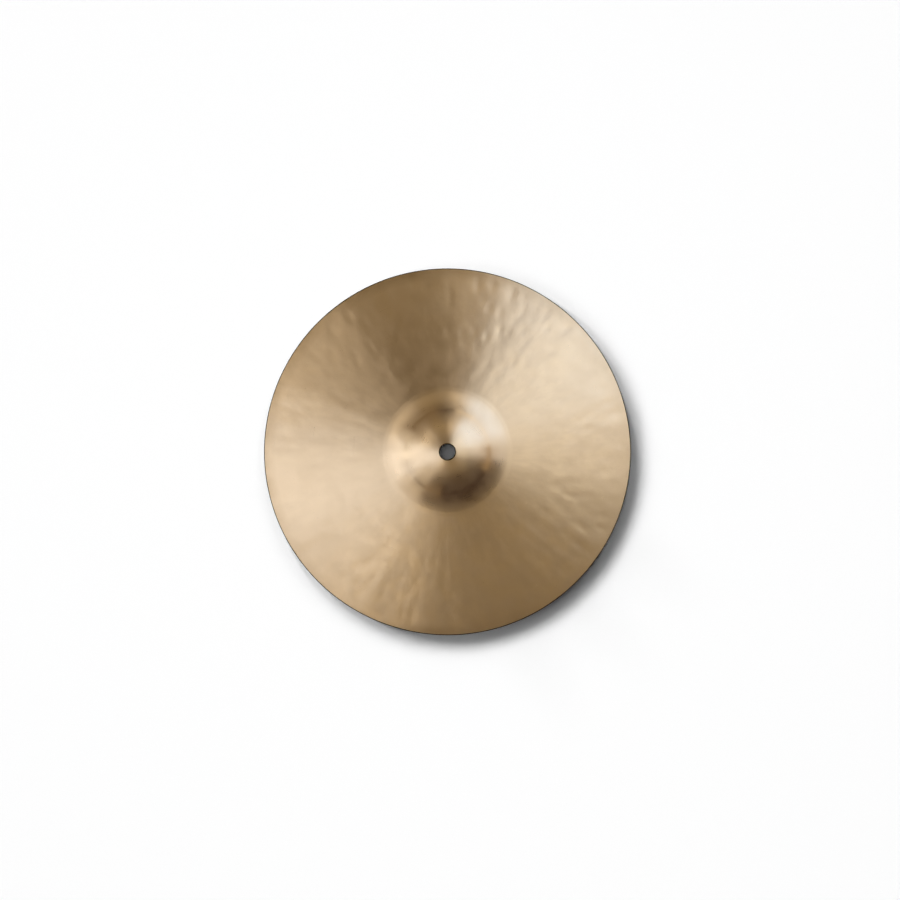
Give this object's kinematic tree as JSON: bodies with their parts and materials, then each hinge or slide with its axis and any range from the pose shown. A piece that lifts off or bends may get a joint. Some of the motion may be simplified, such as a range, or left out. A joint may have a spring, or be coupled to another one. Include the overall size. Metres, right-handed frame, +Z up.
{
  "type": "crash cymbal",
  "caption": "Thin domed bronze crash cymbal with a raised bell, a gently curved hammered bow tapering to a fine rim, and a round centre hole for a stand.",
  "frame": {"origin": "on the axis, in the plane that the rim rests in when the cymbal lies bell up", "axes": "+Z up along the axis of the centre hole, out through the top of the bell; X and Y are alike, because the disc is round"},
  "size_m": [0.3048, 0.3048, 0.0275],
  "materials": {
    "bronze": "hammered and lathe-turned, satin under a thin clear lacquer"
  },
  "bodies": {
    "root": {"cymbal": "bronze"}
  },
  "joints": []
}
